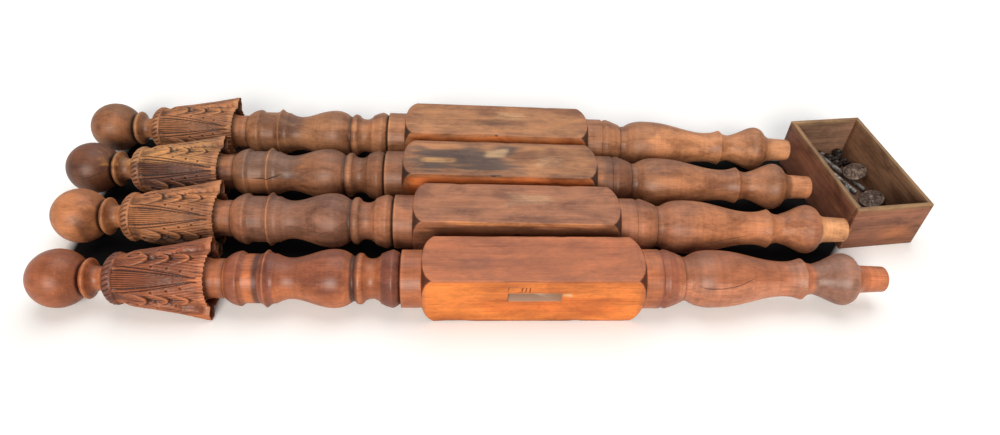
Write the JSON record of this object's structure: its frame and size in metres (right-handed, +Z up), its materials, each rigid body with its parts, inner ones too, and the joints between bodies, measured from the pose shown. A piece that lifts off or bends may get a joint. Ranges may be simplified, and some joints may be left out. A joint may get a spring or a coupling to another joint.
{
  "type": "carved bed posts with hardware box",
  "caption": "Knocked-down carved bed: turned posts with ball, carved leaf head, mortised block and turned leg, lying beside an open box of bed bolts, nuts and covers.",
  "frame": {"origin": "on the floor, under the middle of the set's footprint", "axes": "+X along the posts towards their feet, +Y from the front post to the back one, +Z up"},
  "size_m": [1.6326, 0.5149, 0.102],
  "materials": {
    "bed_post_1_wood": "old worn stain, satin",
    "bed_post_2_wood": "old worn stain, satin",
    "bed_post_3_wood": "old worn stain, satin",
    "bed_post_4_wood": "old worn stain, satin",
    "box_board": "old dry board, matt",
    "nail_iron": "rusted",
    "bolt_iron": "worn bare iron",
    "nut_iron": "dark forged iron",
    "cover_brass": "tarnished, brown"
  },
  "bodies": {
    "post_1": {"bed_post_1": "bed_post_1_wood"},
    "post_2": {"bed_post_2": "bed_post_2_wood"},
    "post_3": {"bed_post_3": "bed_post_3_wood"},
    "post_4": {"bed_post_4": "bed_post_4_wood"},
    "hardware_box": {"box_near_board": "box_board", "box_far_board": "box_board", "box_left_board": "box_board", "box_right_board": "box_board", "box_bottom_board": "box_board", "box_nails": "nail_iron"},
    "bolt_1": {"bed_bolt_1": "bolt_iron"},
    "bolt_2": {"bed_bolt_2": "bolt_iron"},
    "bolt_3": {"bed_bolt_3": "bolt_iron"},
    "bolt_4": {"bed_bolt_4": "bolt_iron"},
    "bolt_5": {"bed_bolt_5": "bolt_iron"},
    "bolt_6": {"bed_bolt_6": "bolt_iron"},
    "bolt_7": {"bed_bolt_7": "bolt_iron"},
    "bolt_8": {"bed_bolt_8": "bolt_iron"},
    "nut_1": {"square_nut_1": "nut_iron"},
    "nut_2": {"square_nut_2": "nut_iron"},
    "nut_3": {"square_nut_3": "nut_iron"},
    "nut_4": {"square_nut_4": "nut_iron"},
    "nut_5": {"square_nut_5": "nut_iron"},
    "nut_6": {"square_nut_6": "nut_iron"},
    "nut_7": {"square_nut_7": "nut_iron"},
    "nut_8": {"square_nut_8": "nut_iron"},
    "cover_1": {"bolt_cover_1": "cover_brass"},
    "cover_2": {"bolt_cover_2": "cover_brass"},
    "cover_3": {"bolt_cover_3": "cover_brass"},
    "cover_4": {"bolt_cover_4": "cover_brass"}
  },
  "joints": [
    {"name": "post_2_lift", "type": "slide", "parent": "post_1", "child": "post_2", "axis": [0, 0, 1], "range_m": [0, 0.15]},
    {"name": "post_3_lift", "type": "slide", "parent": "post_1", "child": "post_3", "axis": [0, 0, 1], "range_m": [0, 0.15]},
    {"name": "post_4_lift", "type": "slide", "parent": "post_1", "child": "post_4", "axis": [0, 0, 1], "range_m": [0, 0.15]},
    {"name": "box_lift", "type": "slide", "parent": "post_1", "child": "hardware_box", "axis": [0, 0, 1], "range_m": [0, 0.15]},
    {"name": "bolt_1_lift", "type": "slide", "parent": "hardware_box", "child": "bolt_1", "axis": [0, 0, 1], "range_m": [0, 0.12]},
    {"name": "bolt_2_lift", "type": "slide", "parent": "hardware_box", "child": "bolt_2", "axis": [0, 0, 1], "range_m": [0, 0.12]},
    {"name": "bolt_3_lift", "type": "slide", "parent": "hardware_box", "child": "bolt_3", "axis": [0, 0, 1], "range_m": [0, 0.12]},
    {"name": "bolt_4_lift", "type": "slide", "parent": "hardware_box", "child": "bolt_4", "axis": [0, 0, 1], "range_m": [0, 0.12]},
    {"name": "bolt_5_lift", "type": "slide", "parent": "hardware_box", "child": "bolt_5", "axis": [0, 0, 1], "range_m": [0, 0.12]},
    {"name": "bolt_6_lift", "type": "slide", "parent": "hardware_box", "child": "bolt_6", "axis": [0, 0, 1], "range_m": [0, 0.12]},
    {"name": "bolt_7_lift", "type": "slide", "parent": "hardware_box", "child": "bolt_7", "axis": [0, 0, 1], "range_m": [0, 0.12]},
    {"name": "bolt_8_lift", "type": "slide", "parent": "bolt_7", "child": "bolt_8", "axis": [0, 0, 1], "range_m": [0, 0.12]},
    {"name": "nut_1_lift", "type": "slide", "parent": "hardware_box", "child": "nut_1", "axis": [0, 0, 1], "range_m": [0, 0.12]},
    {"name": "nut_2_lift", "type": "slide", "parent": "hardware_box", "child": "nut_2", "axis": [0, 0, 1], "range_m": [0, 0.12]},
    {"name": "nut_3_lift", "type": "slide", "parent": "hardware_box", "child": "nut_3", "axis": [0, 0, 1], "range_m": [0, 0.12]},
    {"name": "nut_4_lift", "type": "slide", "parent": "hardware_box", "child": "nut_4", "axis": [0, 0, 1], "range_m": [0, 0.12]},
    {"name": "nut_5_lift", "type": "slide", "parent": "nut_2", "child": "nut_5", "axis": [0, 0, 1], "range_m": [0, 0.12]},
    {"name": "nut_6_lift", "type": "slide", "parent": "hardware_box", "child": "nut_6", "axis": [0, 0, 1], "range_m": [0, 0.12]},
    {"name": "nut_7_lift", "type": "slide", "parent": "hardware_box", "child": "nut_7", "axis": [0, 0, 1], "range_m": [0, 0.12]},
    {"name": "nut_8_lift", "type": "slide", "parent": "hardware_box", "child": "nut_8", "axis": [0, 0, 1], "range_m": [0, 0.12]},
    {"name": "cover_1_lift", "type": "slide", "parent": "bolt_5", "child": "cover_1", "axis": [0, 0, 1], "range_m": [0, 0.12]},
    {"name": "cover_2_lift", "type": "slide", "parent": "hardware_box", "child": "cover_2", "axis": [0, 0, 1], "range_m": [0, 0.12]},
    {"name": "cover_3_lift", "type": "slide", "parent": "hardware_box", "child": "cover_3", "axis": [0, 0, 1], "range_m": [0, 0.12]},
    {"name": "cover_4_lift", "type": "slide", "parent": "hardware_box", "child": "cover_4", "axis": [0, 0, 1], "range_m": [0, 0.12]}
  ]
}
